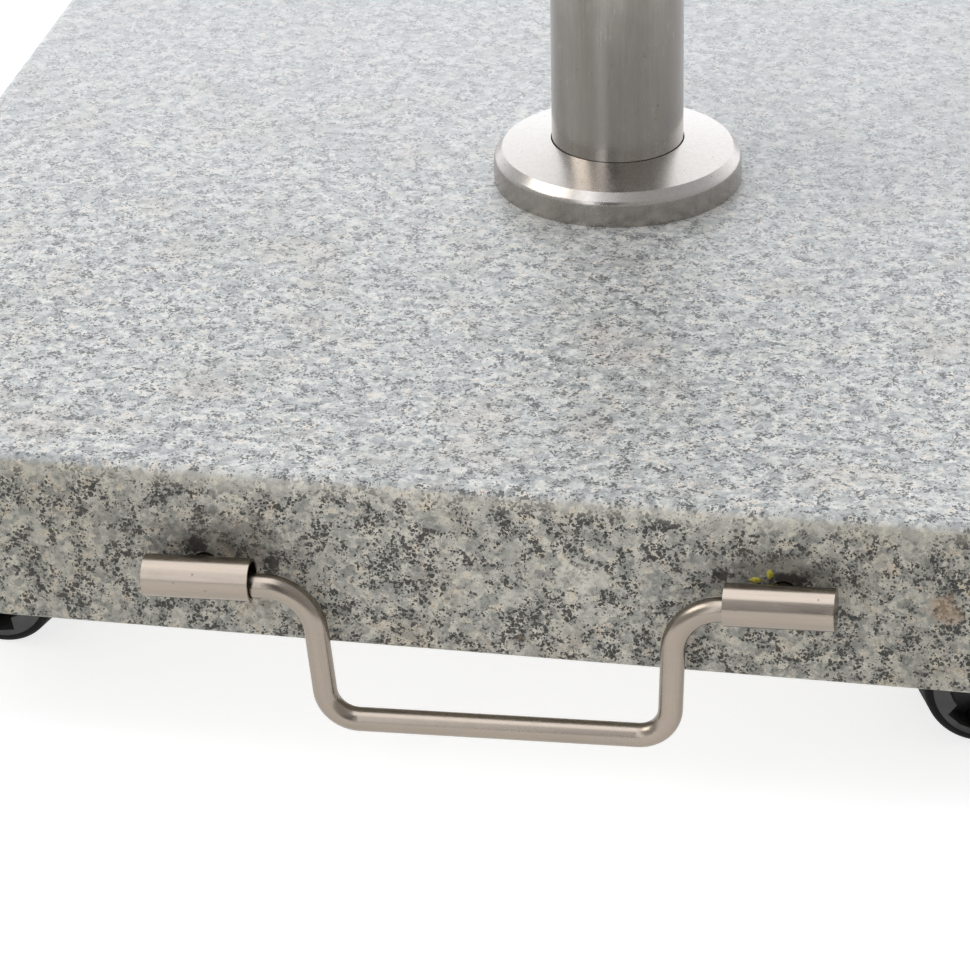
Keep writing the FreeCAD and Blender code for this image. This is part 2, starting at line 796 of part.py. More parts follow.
def axle_cylinder(name, radius, width, angle=None, start_angle="0"):
    """A cylinder or a sector about the wheel axle, centred between the wheels, in the castor's frame."""
    solid = cylinder(name, radius, width, angle)
    turn = FreeCAD.Rotation(X_AXIS, 90).multiply(FreeCAD.Rotation(Z_AXIS, size(start_angle)))
    return place(solid, "castor_trail", f"({width}) / 2", f"-({AXLE_DROP})", turn)


BRAKE_X = "castor_trail + brake_pin_reach * cos(brake_pin_angle)"
BRAKE_Z = f"brake_pin_reach * sin(brake_pin_angle) - ({AXLE_DROP})"


def brake_frame(lean):
    """The brake pin's frame in the castor's, turned about the pin so that X leans up by an angle."""
    return frame_at(BRAKE_X, "0", BRAKE_Z, FreeCAD.Rotation(Y_AXIS, -lean))


def make_brake_ears(corner):
    """Two ears that reach back from the fender and carry the brake pin, clear of the wheels."""
    ears = []
    towards_fender = brake_frame(size("brake_pin_angle + brake_ear_turn"))
    for index, side in enumerate((-1, 1)):
        middle = f"{side} * (brake_width / 2 + brake_side_gap + brake_ear_thickness / 2)"
        lobe = cylinder(f"ear_lobe_{corner}_{index}", "brake_ear_radius", "brake_ear_thickness")
        place(lobe, BRAKE_X, f"{middle} + brake_ear_thickness / 2", BRAKE_Z, ALONG_MINUS_Y)
        arm = box(f"ear_arm_{corner}_{index}", "brake_ear_reach", "brake_ear_thickness", "brake_ear_radius * 2")
        local = frame_at("0", f"{middle} - brake_ear_thickness / 2", "-brake_ear_radius")
        arm.Placement = towards_fender.multiply(local)
        ears += [lobe, arm]
    wheels = axle_cylinder(f"ear_wheel_room_{corner}", "wheel_radius + wheel_room", "hood_width")
    return cut(f"ears_{corner}", fuse(f"ears_solid_{corner}", *ears), wheels)


def make_castor_hood(corner):
    top = "-castor_plate_thickness - hood_gap"
    outer = axle_cylinder(f"hood_outer_{corner}", "hood_outer_radius", "hood_width", "hood_fender_sweep",
                          "hood_fender_start")
    inner = axle_cylinder(f"hood_inner_{corner}", "hood_inner_radius", "hood_width")
    fender = cut(f"hood_fender_{corner}", outer, inner)
    web = axle_cylinder(f"hood_web_{corner}", "hood_inner_radius + hood_web_overlap", "hood_web",
                        "hood_web_sweep", "hood_fender_start")
    hub = axle_cylinder(f"hood_hub_{corner}", "axle_radius + hood_hub_wall", "hood_web")
    boss = cylinder(f"hood_boss_{corner}", "hood_boss_radius", f"hood_boss_drop + ({top})")
    place(boss, z="-hood_boss_drop")
    collar = cylinder(f"hood_collar_{corner}", "hood_collar_radius", "hood_collar_height")
    place(collar, z=f"{top} - hood_collar_height")
    pieces = [fender, web, hub, boss, collar]
    tools = [
        place(cylinder(f"hood_stem_bore_{corner}", "stem_radius + running_gap", "stem_length"),
              z="-stem_length - hood_bore_extra"),
        place(cylinder(f"hood_clip_groove_{corner}", "stem_radius + clip_reach + hood_clip_room",
                       "stem_groove_height + hood_clip_room * 2"),
              z="-stem_groove_drop - hood_clip_room"),
        axle_cylinder(f"hood_axle_bore_{corner}", "axle_radius + fit_gap", "hood_web + 4"),
    ]
    if corner in BRAKED:
        pieces.append(make_brake_ears(corner))
        pin_bore = cylinder(f"hood_pin_bore_{corner}", "brake_pin_radius + fit_gap", "brake_pin_length + 4")
        tools.append(place(pin_bore, BRAKE_X, "brake_pin_length / 2 + 2", BRAKE_Z, ALONG_MINUS_Y))
    solid = fuse(f"hood_solid_{corner}", *pieces)
    hood = cut(f"hood_{corner}", solid, *tools)
    node(on_castor(hood, corner), f"castor_hood_{corner}")


def make_castor_axle(corner):
    axle = cylinder(f"axle_{corner}", "axle_radius", "axle_length")
    local = frame_at("castor_trail", "axle_length / 2", f"-({AXLE_DROP})", ALONG_MINUS_Y)
    node(on_castor(axle, corner, local), f"wheel_axle_{corner}")


def wheel_place(side, phase):
    """Turns a wheel from its own Z axis to the left or right of the castor."""
    turn = ALONG_Y if side > 0 else ALONG_MINUS_Y
    return frame_at("castor_trail", "0", f"-({AXLE_DROP})", turn.multiply(FreeCAD.Rotation(Z_AXIS, phase)))


def make_wheel(corner, name, side, phase):
    label = f"{corner}_{name}"
    core = new_body(f"wheel_core_{label}")
    half = new_sketch(core, "XZ_Plane", "half")
    add_outline(half, [
        ("0", "axle_length / 2 + wheel_hub_face"),
        ("axle_radius + running_gap", "axle_length / 2 + wheel_hub_face"),
        ("axle_radius + running_gap", "wheel_hub_side"),
        ("wheel_hub_radius", "wheel_hub_side"),
        ("wheel_hub_radius", "wheel_disc_inner"),
        ("wheel_rim_bore", "wheel_disc_inner"),
        ("wheel_rim_bore", "wheel_rim_side"),
        ("wheel_rim_radius", "wheel_rim_side"),
        ("wheel_rim_radius", "wheel_outer_side"),
        ("wheel_lug_radius", "wheel_lug_side"),
        ("wheel_lug_radius - wheel_lug_slope", "wheel_disc_outer"),
        ("wheel_hub_radius + wheel_hub_slope", "wheel_disc_outer"),
        ("wheel_hub_radius + wheel_hub_edge", "wheel_hub_top"),
        ("0", "wheel_hub_top + wheel_hub_crown"),
    ])
    revolve(core, half)
    window = new_sketch(core, "XY_Plane", "window", "wheel_outer_side + wheel_lug_slope")
    low = "(wheel_lug_radius - wheel_window_overlap)"
    high = "wheel_window_radius"
    spread = "(wheel_window_angle / 2)"
    add_outline(window, [
        (f"{low} * cos{spread}", f"-{low} * sin{spread}"),
        (f"{high} * cos{spread}", f"-{high} * sin{spread}"),
        (f"{high}", "0"),
        (f"{high} * cos{spread}", f"{high} * sin{spread}"),
        (f"{low} * cos{spread}", f"{low} * sin{spread}"),
    ])
    recess = pocket(core, window, "wheel_outer_side + wheel_lug_slope - wheel_disc_outer + wheel_hub_face")
    repeat(core, recess, window, "wheel_windows")
    on_castor(core, corner, wheel_place(side, phase))

    tread = new_body(f"wheel_tread_{label}")
    ring = new_sketch(tread, "XZ_Plane", "ring")
    inner = "wheel_rim_radius + fit_gap"
    add_outline(ring, [
        (inner, "wheel_rim_side"),
        ("wheel_radius", "wheel_rim_side"),
        ("wheel_radius", "wheel_outer_side + tread_proud"),
        (inner, "wheel_outer_side + tread_proud"),
    ])
    revolve(tread, ring)
    outer_edge = is_ring(size("wheel_radius"), size("wheel_outer_side + tread_proud"))
    soften(tread, "Fillet", "tread_shoulder", outer_edge)
    soften(tread, "Fillet", "tread_inner_round", is_ring(size("wheel_radius"), size("wheel_rim_side")))
    on_castor(tread, corner, wheel_place(side, phase))


def make_brake(corner):
    """A pedal that pivots behind the wheels, with a shoe against their treads."""
    hub = place(cylinder(f"brake_hub_{corner}", "brake_hub_radius", "brake_width"),
                BRAKE_X, "brake_width / 2", BRAKE_Z, ALONG_MINUS_Y)
    pedal_frame = brake_frame(-size("brake_pedal_angle"))
    lift = "brake_hub_radius - brake_pedal_thickness"
    neck = box(f"brake_neck_{corner}", "brake_hub_radius + brake_neck_length", "brake_width",
               "brake_pedal_thickness")
    neck.Placement = pedal_frame.multiply(frame_at("0", "-brake_width / 2", lift))
    pedal = box(f"brake_pedal_{corner}", "brake_pedal_length - brake_ear_radius", "brake_pedal_width",
                "brake_pedal_thickness")
    beside_ears = frame_at("brake_ear_radius + brake_pedal_gap", "-brake_pedal_width / 2", lift)
    pedal.Placement = pedal_frame.multiply(beside_ears)
    shoe = axle_cylinder(f"brake_shoe_{corner}", "brake_pin_reach", "brake_width", "brake_shoe_sweep",
                         "brake_pin_angle - brake_shoe_lead")
    bore = place(cylinder(f"brake_bore_{corner}", "brake_pin_radius + running_gap", "brake_width + 2"),
                 BRAKE_X, "brake_width / 2 + 1", BRAKE_Z, ALONG_MINUS_Y)
    wheels = axle_cylinder(f"brake_wheels_{corner}", "wheel_radius + brake_shoe_gap", "brake_pedal_width + 2")
    lever = cut(f"brake_{corner}", fuse(f"brake_solid_{corner}", hub, neck, pedal, shoe), bore, wheels)
    node(on_castor(lever, corner), f"brake_lever_{corner}")
    pin = cylinder(f"brake_pin_bar_{corner}", "brake_pin_radius", "brake_pin_length")
    local = frame_at(BRAKE_X, "brake_pin_length / 2", BRAKE_Z, ALONG_MINUS_Y)
    node(on_castor(pin, corner, local), f"brake_pin_{corner}")


# ---------------------------------------------------------------- assembly

make_slab()
make_flange()
make_tube()
make_cover()
make_flange_fasteners()
make_reducer_sleeve()
make_clamp("lower", "lower_clamp_height")
make_clamp("upper", "upper_clamp_height")
make_handle_mounts()
make_handle_rod()
make_castor_fixings()
for castor in CASTORS:
    make_castor_plate(castor)
    make_castor_hood(castor)
    make_castor_axle(castor)
    make_wheel(castor, "a", 1, WHEEL_TURNS[castor])
    make_wheel(castor, "b", -1, WHEEL_TURNS[castor])
    if castor in BRAKED:
        make_brake(castor)

doc.recompute()
for feature in doc.Objects:
    if "Invalid" in feature.State or "Error" in feature.State:
        raise ValueError(f"{feature.Label} did not compute: {feature.State}")
os.makedirs("parts", exist_ok=True)
for label, feature in NODES.items():
    if feature.Shape.isNull() or not feature.Shape.isValid() or not feature.Shape.Solids:
        raise ValueError(f"{label} has no valid solid")
    feature.Shape.exportStep(f"parts/{label}.step")
    print(label, len(feature.Shape.Solids), round(feature.Shape.Volume))
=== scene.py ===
import json
import math

import bmesh
import bpy
from mathutils import Matrix, Vector, noise


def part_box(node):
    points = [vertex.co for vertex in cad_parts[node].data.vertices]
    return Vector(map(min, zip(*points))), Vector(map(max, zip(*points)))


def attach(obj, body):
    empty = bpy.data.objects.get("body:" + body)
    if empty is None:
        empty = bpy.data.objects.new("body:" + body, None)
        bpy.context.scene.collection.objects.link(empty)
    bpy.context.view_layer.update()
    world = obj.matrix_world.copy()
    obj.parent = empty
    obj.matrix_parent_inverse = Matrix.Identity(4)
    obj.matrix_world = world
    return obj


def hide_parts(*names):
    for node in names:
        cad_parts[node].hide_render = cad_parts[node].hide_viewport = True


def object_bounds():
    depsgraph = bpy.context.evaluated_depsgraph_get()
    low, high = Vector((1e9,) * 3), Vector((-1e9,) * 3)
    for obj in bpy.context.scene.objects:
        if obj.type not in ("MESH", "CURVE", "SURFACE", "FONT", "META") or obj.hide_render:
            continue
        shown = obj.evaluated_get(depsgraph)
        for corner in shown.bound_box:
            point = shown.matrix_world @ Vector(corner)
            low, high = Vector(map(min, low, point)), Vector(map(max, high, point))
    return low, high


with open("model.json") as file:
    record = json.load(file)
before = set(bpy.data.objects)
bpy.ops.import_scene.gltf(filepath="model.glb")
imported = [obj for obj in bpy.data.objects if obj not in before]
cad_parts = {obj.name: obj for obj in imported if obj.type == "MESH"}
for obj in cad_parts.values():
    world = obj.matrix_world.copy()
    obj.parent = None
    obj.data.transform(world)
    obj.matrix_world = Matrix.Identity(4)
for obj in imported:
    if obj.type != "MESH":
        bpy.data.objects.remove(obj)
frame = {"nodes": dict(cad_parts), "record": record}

# Granite parasol base: looks for the CAD nodes, a few added details, floor, light and camera.
# Lengths are metres; the materials are drawn in millimetres, and so is every name that ends in _mm.

CAD_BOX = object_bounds()
NODES = frame["nodes"]
SLOTS = {part["node"]: part["material_slot"] for part in frame["record"]["subparts"]}
MM = 0.001

SLAB_LOW, SLAB_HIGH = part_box("granite_slab")
FACE_Y = SLAB_LOW.y
FLOOR_Z = CAD_BOX[0].z


# ---------------------------------------------------------------- shader graph helper

class Shader:
    """A material built node by node, with its texture space in millimetres on the object."""

    def __init__(self, name):
        self.material = bpy.data.materials.new(name)
        self.material.use_nodes = True
        self.tree = self.material.node_tree
        self.bsdf = self.tree.nodes["Principled BSDF"]
        coordinates = self.tree.nodes.new("ShaderNodeTexCoord")
        scale = self.tree.nodes.new("ShaderNodeVectorMath")
        scale.operation = "SCALE"
        scale.inputs["Scale"].default_value = 1 / MM
        self.tree.links.new(coordinates.outputs["Object"], scale.inputs[0])
        self.place = scale.outputs[0]

    def feed(self, socket, value):
        """Link a socket into another, or set its value; None leaves it alone."""
        if isinstance(value, bpy.types.NodeSocket):
            self.tree.links.new(value, socket)
        elif value is not None:
            socket.default_value = value

    def math(self, operation, a, b=None, clamp=False):
        node = self.tree.nodes.new("ShaderNodeMath")
        node.operation = operation
        node.use_clamp = clamp
        self.feed(node.inputs[0], a)
        self.feed(node.inputs[1], b)
        return node.outputs[0]

    def highest(self, masks):
        """The largest of several masks at each point."""
        largest, *others = masks
        for mask in others:
            largest = self.math("MAXIMUM", largest, mask)
        return largest

    def vector(self, operation, a, b=None):
        node = self.tree.nodes.new("ShaderNodeVectorMath")
        node.operation = operation
        self.feed(node.inputs[0], a)
        self.feed(node.inputs[1], b)
        return node.outputs["Value"] if operation == "LENGTH" else node.outputs[0]

    def split(self, vector):
        node = self.tree.nodes.new("ShaderNodeSeparateXYZ")
        self.feed(node.inputs[0], vector)
        return node.outputs

    def noise(self, size_mm, detail=2.0, rough=0.5, stretch=None, place=None):
        """Soft noise with features about size_mm across; stretch scales the axes."""
        place = place or self.place
        if stretch is not None:
            place = self.vector("MULTIPLY", place, stretch)
        node = self.tree.nodes.new("ShaderNodeTexNoise")
        node.inputs["Scale"].default_value = 1 / size_mm
        node.inputs["Detail"].default_value = detail
        node.inputs["Roughness"].default_value = rough
        self.feed(node.inputs["Vector"], place)
        return node

    def cells(self, size_mm, place=None, feature="F1"):
        node = self.tree.nodes.new("ShaderNodeTexVoronoi")
        node.feature = feature
        node.inputs["Scale"].default_value = 1 / size_mm
        self.feed(node.inputs["Vector"], place or self.place)
        return node

    def grain_value(self, size_mm, place=None, smooth=0.0):
        """One random number for each cell, blended across the borders when smooth."""
        node = self.cells(size_mm, place, "SMOOTH_F1" if smooth else "F1")
        if smooth:
            node.inputs["Smoothness"].default_value = smooth
        return self.split(node.outputs["Color"])[0]

    def dots(self, size_mm, place, reach):
        """Ragged specks, at most one in each cell; reach is the largest radius, in cells."""
        node = self.cells(size_mm, place)
        luck = self.split(node.outputs["Color"])[1]
        radius = self.math("MULTIPLY", self.band(luck, 0.20, 1.0), reach)
        return self.band(self.math("SUBTRACT", node.outputs["Distance"], radius), -0.06, 0.04, 1.0, 0.0)

    def ramp(self, value, stops):
        """A number turned into a colour; a stop's colour may be a single grey level."""
        node = self.tree.nodes.new("ShaderNodeValToRGB")
        elements = node.color_ramp.elements
        while len(elements) < len(stops):
            elements.new(1.0)
        for element, (position, colour) in zip(elements, stops):
            element.position = position
            element.color = (*colour, 1.0) if isinstance(colour, tuple) else (colour, colour, colour, 1.0)
        self.feed(node.inputs[0], value)
        return node.outputs[0]

    def band(self, value, low, high, out_low=0.0, out_high=1.0):
        """A number mapped smoothly from one range to another."""
        node = self.tree.nodes.new("ShaderNodeMapRange")
        node.interpolation_type = "SMOOTHSTEP"
        self.feed(node.inputs["Value"], value)
        self.feed(node.inputs["From Min"], low)
        self.feed(node.inputs["From Max"], high)
        self.feed(node.inputs["To Min"], out_low)
        self.feed(node.inputs["To Max"], out_high)
        return node.outputs[0]

    def mix(self, factor, a, b, blend="MIX"):
        node = self.tree.nodes.new("ShaderNodeMix")
        node.data_type = "RGBA"
        node.blend_type = blend
        sockets = {s.name: s for s in node.inputs if s.type == "RGBA"}
        self.feed(node.inputs["Factor"], factor)
        self.feed(sockets["A"], (*a, 1.0) if isinstance(a, tuple) else a)
        self.feed(sockets["B"], (*b, 1.0) if isinstance(b, tuple) else b)
        return next(s for s in node.outputs if s.type == "RGBA")

    def bump(self, height, strength, distance_mm):
        node = self.tree.nodes.new("ShaderNodeBump")
        node.inputs["Distance"].default_value = distance_mm * MM
        self.feed(node.inputs["Strength"], strength)
        self.feed(node.inputs["Height"], height)
        return node.outputs[0]

    def blot(self, centre, radii, ragged, size_mm):
        """A ragged patch about a point in millimetres: 1 inside, fading to 0."""
        offset = self.vector("SUBTRACT", self.place, centre)
        scaled = self.vector("DIVIDE", offset, radii)
        reach = self.vector("LENGTH", scaled)
        rough = self.math("MULTIPLY", self.noise(size_mm, 3.0, 0.6).outputs[0], ragged * 5)
        return self.band(self.math("ADD", reach, rough), 0.60 + ragged * 2.5, 1.25 + ragged * 2.5, 1.0, 0.0)

    def finish(self, colour, roughness, normal=None, metallic=0.0, **fixed):
        """Wire up the surface; other shader inputs are given by name, with _ for a space."""
        self.feed(self.bsdf.inputs["Base Color"], colour)
        self.feed(self.bsdf.inputs["Roughness"], roughness)
        self.feed(self.bsdf.inputs["Normal"], normal)
        self.bsdf.inputs["Metallic"].default_value = metallic
        for name, value in fixed.items():
            self.bsdf.inputs[name.replace("_", " ")].default_value = value
        return self.material


# ---------------------------------------------------------------- granite

GRAIN_TONES = [
    (0.00, (0.255, 0.262, 0.258)),
    (0.25, (0.315, 0.320, 0.312)),
    (0.45, (0.385, 0.387, 0.374)),
    (0.65, (0.455, 0.452, 0.434)),
    (0.82, (0.505, 0.494, 0.462)),
    (1.00, (0.500, 0.455, 0.395)),
]
GRAIN_SHADES = [
    (0.00, (0.66, 0.67, 0.67)),
    (0.35, (0.91, 0.92, 0.91)),
    (0.75, (1.03, 1.03, 1.02)),
    (1.00, (1.12, 1.11, 1.09)),
]
MICA_TONES = [(0.0, (0.006, 0.006, 0.008)), (1.0, (0.060, 0.056, 0.050))]
MICA_SHADOW = (0.150, 0.152, 0.146)
GRIT_LEVELS = [(0.30, 0.10), (0.70, 0.62)]

# size in mm, detail, roughness, where the noise starts and ends, strength, colour
WARM_PATCH = (34, 3.0, 0.6, 0.50, 0.70, 0.36, (0.395, 0.325, 0.260))
DARK_PATCH = (16, 3.0, 0.6, 0.52, 0.68, 0.34, (0.225, 0.232, 0.222))
PALE_PATCH = (7, 2.0, 0.5, 0.55, 0.70, 0.38, (0.560, 0.545, 0.505))

# cell size in mm, largest radius in cells
MICA_FLAKES = ((1.10, 0.78), (2.1, 0.50), (0.75, 0.72))

# painted highlight along the eased top edge
ARRIS_PAINTED_HIGHLIGHT = (0.640, 0.625, 0.580)
# painted shade towards the ends of the sides
END_PAINTED_SHADE = (0.76, 0.75, 0.72)
# painted shade on the sawn sides, painted light on the honed top
SIDE_PAINTED_SHADE = (0.965, 0.930, 0.850)
TOP_PAINTED_LIGHT = (1.07, 1.07, 1.06)
# painted sheen that greys the top towards the back
BACK_PAINTED_SHEEN = (0.430, 0.430, 0.424)

# darker brownish patches above the sleeves
SLEEVE_TOP_DARKENING = (0.070, 0.063, 0.050)
# painted shadow in the stud holes above the sleeves
STUD_HOLE_PAINTED_SHADOW = (0.016, 0.013, 0.010)
RUST = (0.300, 0.200, 0.120)
BLEACHED = (0.560, 0.530, 0.450)
KNOT = (0.085, 0.060, 0.038)


def granite_grains(s, place):
    """Large soft grains shaded by small ones, with warm, dark and pale patches."""
    large = s.ramp(s.grain_value(2.7, place, smooth=0.35), GRAIN_TONES)
    small = s.ramp(s.grain_value(1.2, place), GRAIN_SHADES)
    colour = s.mix(1.0, large, small, "MULTIPLY")
    for size_mm, detail, rough, low, high, strength, tone in (WARM_PATCH, DARK_PATCH, PALE_PATCH):
        patch = s.noise(size_mm, detail, rough).outputs[0]
        colour = s.mix(s.band(patch, low, high, 0.0, strength), colour, tone)
    return colour


def add_mica(s, place, colour):
    """Clusters of black mica, with grey grains among them; gives the new colour and the mica's mask."""
    cluster = s.band(s.noise(6.0, 3.0, 0.65).outputs[0], 0.36, 0.66, 0.16, 1.0)
    shadow = s.math("LESS_THAN", s.grain_value(1.1, place), s.math("MULTIPLY", cluster, 0.26))
    colour = s.mix(s.math("MULTIPLY", shadow, 0.60), colour, MICA_SHADOW)
    flakes = [s.dots(size_mm, place, s.math("MULTIPLY", cluster, reach)) for size_mm, reach in MICA_FLAKES]
    mica = s.highest(flakes)
    tone = s.ramp(s.grain_value(0.8, place), MICA_TONES)
    return s.mix(s.math("MULTIPLY", mica, 0.94), colour, tone), mica


def stain_face(s, colour):
    """Darker patches, painted shadow at the stud holes, rust and bleached places on the front face, most of
    them by the handle sleeves.
    """
    left_low, left_high = (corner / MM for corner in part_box("handle_sleeve_left"))
    right_low, right_high = (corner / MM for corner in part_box("handle_sleeve_right"))
    left_z = (left_low.z + left_high.z) / 2
    right_z = (right_low.z + right_high.z) / 2
    face = FACE_Y / MM

    # strength, colour, spots; a spot is its place along the face, height, radii, raggedness and noise size
    stains = (
        # darker brownish patches just above both sleeves
        (0.52, SLEEVE_TOP_DARKENING, [
            (left_low.x + 25, left_z + 11, (23, 4, 8), 0.55, 4.0),
            (right_low.x + 17, right_z + 9, (17, 4, 7), 0.55, 3.5),
        ]),
        # painted shadow: near-black blots just above the sleeves, where the studs enter the stone
        (0.90, STUD_HOLE_PAINTED_SHADOW, [
            (left_low.x + 15, left_z + 7, (4.2, 3, 3.2), 0.50, 1.8),
            (left_high.x + 5, left_z + 3, (3.0, 3, 3.6), 0.55, 1.8),
            (right_low.x + 20, right_z + 5.2, (6.5, 3, 2.4), 0.45, 1.8),
            (right_low.x - 2, right_z + 5.0, (3.4, 3, 2.6), 0.60, 1.8),
        ]),
        (0.50, RUST, [(right_high.x + 34, right_z - 1, (5.5, 4, 5.5), 0.5, 3.0)]),
        (0.45, BLEACHED, [(29, left_z + 6, (9, 4, 6), 0.5, 3.0)]),
        (0.80, KNOT, [(9.5, left_z - 18, (1.6, 3, 1.5), 0.4, 1.5)]),
    )
    for strength, tone, spots in stains:
        blots = [s.blot((x, face, z), radii, ragged, size_mm) for x, z, radii, ragged, size_mm in spots]
        mask = s.highest(blots)
        colour = s.mix(s.math("MULTIPLY", mask, strength), colour, tone)
    return colour


def make_granite():
    """Fine grey granite with clustered black mica, honed on top and sawn at the sides; its colour carries
    painted light and shade.
    """
    s = Shader("granite")
    wobble = s.noise(0.9, 2.0, 0.6).outputs["Color"]
    shifted = s.vector("SUBTRACT", wobble, (0.5, 0.5, 0.5))
    place = s.vector("ADD", s.place, s.vector("MULTIPLY", shifted, (1.3, 1.3, 1.3)))
    colour, mica = add_mica(s, place, granite_grains(s, place))
    grit = s.ramp(s.noise(0.55, 2.0, 0.7).outputs[0], GRIT_LEVELS)
    colour = s.mix(0.30, colour, grit, "OVERLAY")

    along, across, height = s.split(s.place)[0:3]
    top = SLAB_HIGH.z / MM
    honed = s.band(height, top - 2.6, top - 0.4)
    # painted highlight: a lighter band along the top of the sides, just under the honed top, stands in for
    # light caught by the eased edge
    arris = s.math("SUBTRACT", s.band(height, top - 8.0, top - 1.5), honed, clamp=True)
    colour = s.mix(s.math("MULTIPLY", arris, 0.30), colour, ARRIS_PAINTED_HIGHLIGHT)
    # painted shade: the sides (not the top) darken towards both ends of the slab
    ends = s.band(s.math("ABSOLUTE", along), 60.0, 150.0, 0.0, 0.80)
    ends = s.math("MULTIPLY", ends, s.math("SUBTRACT", 1.0, honed))
    colour = s.mix(ends, colour, END_PAINTED_SHADE, "MULTIPLY")
    # painted light and shade: the honed top is made lighter, the sawn sides darker and warmer
    colour = s.mix(1.0, colour, s.mix(honed, SIDE_PAINTED_SHADE, TOP_PAINTED_LIGHT), "MULTIPLY")
    colour = stain_face(s, colour)
    # painted sheen: the honed top fades towards an even grey further back, standing in for grazing sheen and
    # blur
    back_sheen = s.math("MULTIPLY", s.band(across, FACE_Y / MM + 60, 150.0, 0.04, 0.50), honed)
    colour = s.mix(back_sheen, colour, BACK_PAINTED_SHEEN)

    pits = s.noise(0.9, 3.0, 0.7, place=place).outputs[0]
    waves = s.noise(14, 2.0, 0.5).outputs[0]
    relief = s.math("SUBTRACT", pits, s.math("MULTIPLY", mica, 0.35))
    relief = s.math("ADD", relief, s.math("MULTIPLY", waves, 0.8))
    normal = s.bump(relief, s.band(honed, 0.0, 1.0, 0.55, 0.10), 0.35)
    sheen = s.math("ADD", s.band(honed, 0.0, 1.0, 0.62, 0.32), s.math("MULTIPLY", pits, 0.12))
    return s.finish(colour, sheen, normal, Specular_IOR_Level=0.45)


# ---------------------------------------------------------------- metals, plastics and floor

WARM_STEEL = (0.295, 0.252, 0.207)
COOL_STEEL = (0.430, 0.400, 0.368)
ZINC_TONES = [(0.25, (0.36, 0.37, 0.38)), (0.55, (0.52, 0.53, 0.54)), (0.85, (0.66, 0.66, 0.64))]
RESIN_TONES = [(0.3, (0.16, 0.130, 0.008)), (0.5, (0.36, 0.320, 0.018)), (0.72, (0.55, 0.500, 0.10))]
ALONG_X = (0.03, 1.0, 1.0)
ALONG_BAR = (0.03, 1.0, 0.03)
ALONG_Z = (1.0, 1.0, 0.03)
ALL_WAYS = (1.0, 1.0, 1.0)
NICK_SHARE = 0.0015
CLEAN_RUBBER = (0.0035, 0.0035, 0.004)
ROAD_DUST = (0.060, 0.056, 0.050)
FLOOR_GLOW = 0.76


def make_steel(name, tint, stretch, rough_low, rough_high, relief_strength=0.10, line_mm=0.32):
    """Satin steel: fine polishing lines along one direction and faint handling marks."""
    s = Shader(name)
    lines = s.noise(line_mm, 3.0, 0.6, stretch).outputs[0]
    broad = s.noise(1.6, 2.0, 0.5, stretch).outputs[0]
    marks = s.noise(7, 4.0, 0.6).outputs[0]
    shade = s.math("ADD", s.math("MULTIPLY", lines, 0.52), s.math("MULTIPLY", broad, 0.38))
    shade = s.math("ADD", shade, s.math("MULTIPLY", marks, 0.10))
    dark = tuple(c * 0.90 for c in tint)
    light = tuple(c * 1.08 for c in tint)
    colour = s.ramp(shade, [(0.32, dark), (0.52, tint), (0.72, light)])
    nick = s.math("LESS_THAN", s.grain_value(0.7), NICK_SHARE)
    colour = s.mix(s.math("MULTIPLY", nick, 0.5), colour, tuple(c * 0.4 for c in tint))
    worn = s.band(marks, 0.45, 0.75, 0.0, 0.04)
    roughness = s.math("ADD", s.band(lines, 0.25, 0.75, rough_low, rough_high), worn)
    relief = s.math("ADD", s.math("MULTIPLY", lines, 0.5), s.math("MULTIPLY", broad, 0.5))
    return s.finish(colour, roughness, s.bump(relief, relief_strength, 0.03), 1.0)


def make_zinc():
    """Bright zinc plate with a mottled bloom and rubbed spots."""
    s = Shader("zinc_steel")
    bloom = s.noise(3.2, 4.0, 0.65).outputs[0]
    flakes = s.grain_value(1.4)
    shade = s.math("ADD", s.math("MULTIPLY", bloom, 0.7), s.math("MULTIPLY", flakes, 0.3))
    colour = s.ramp(shade, ZINC_TONES)
    roughness = s.band(bloom, 0.3, 0.7, 0.30, 0.48)
    return s.finish(colour, roughness, s.bump(bloom, 0.15, 0.08), 1.0)


def make_plastic(name, tint, rough_low, rough_high, grain_mm, depth):
    """Moulded plastic: a fine spark-eroded grain, cloudy patches of pale dust and pale scuffs."""
    s = Shader(name)
    grain = s.noise(grain_mm, 2.0, 0.6).outputs[0]
    cells = s.cells(grain_mm * 2.2).outputs["Distance"]
    cloud = s.noise(11, 4.0, 0.6).outputs[0]
    dusted = tuple(c + 0.028 for c in tint)
    colour = s.mix(s.band(cloud, 0.35, 0.75), tint, dusted)
    scratch = s.noise(0.5, 3.0, 0.7, (0.12, 1.0, 1.0)).outputs[0]
    scuffed = s.math("MULTIPLY", s.band(scratch, 0.64, 0.74), s.band(cloud, 0.48, 0.66))
    colour = s.mix(s.math("MULTIPLY", scuffed, 0.4), colour, tuple(c + 0.10 for c in tint))
    relief = s.math("ADD", grain, s.math("MULTIPLY", cells, 0.6))
    roughness = s.math("ADD", s.band(grain, 0.3, 0.7, rough_low, rough_high), s.math("MULTIPLY", cloud, 0.06))
    return s.finish(colour, roughness, s.bump(relief, depth, 0.08), 0.0)


def make_tread():
    """Black rubber: dull, with grey dust where the tread has run."""
    s = Shader("tread")
    cloud = s.noise(6, 4.0, 0.65).outputs[0]
    grit = s.noise(0.7, 3.0, 0.7).outputs[0]
    dusty = s.math("MULTIPLY", s.band(cloud, 0.42, 0.72), s.band(grit, 0.45, 0.65))
    colour = s.mix(s.math("MULTIPLY", dusty, 0.22), CLEAN_RUBBER, ROAD_DUST)
    roughness = s.band(cloud, 0.3, 0.7, 0.58, 0.74)
    return s.finish(colour, roughness, s.bump(grit, 0.3, 0.06), 0.0, Specular_IOR_Level=0.16)


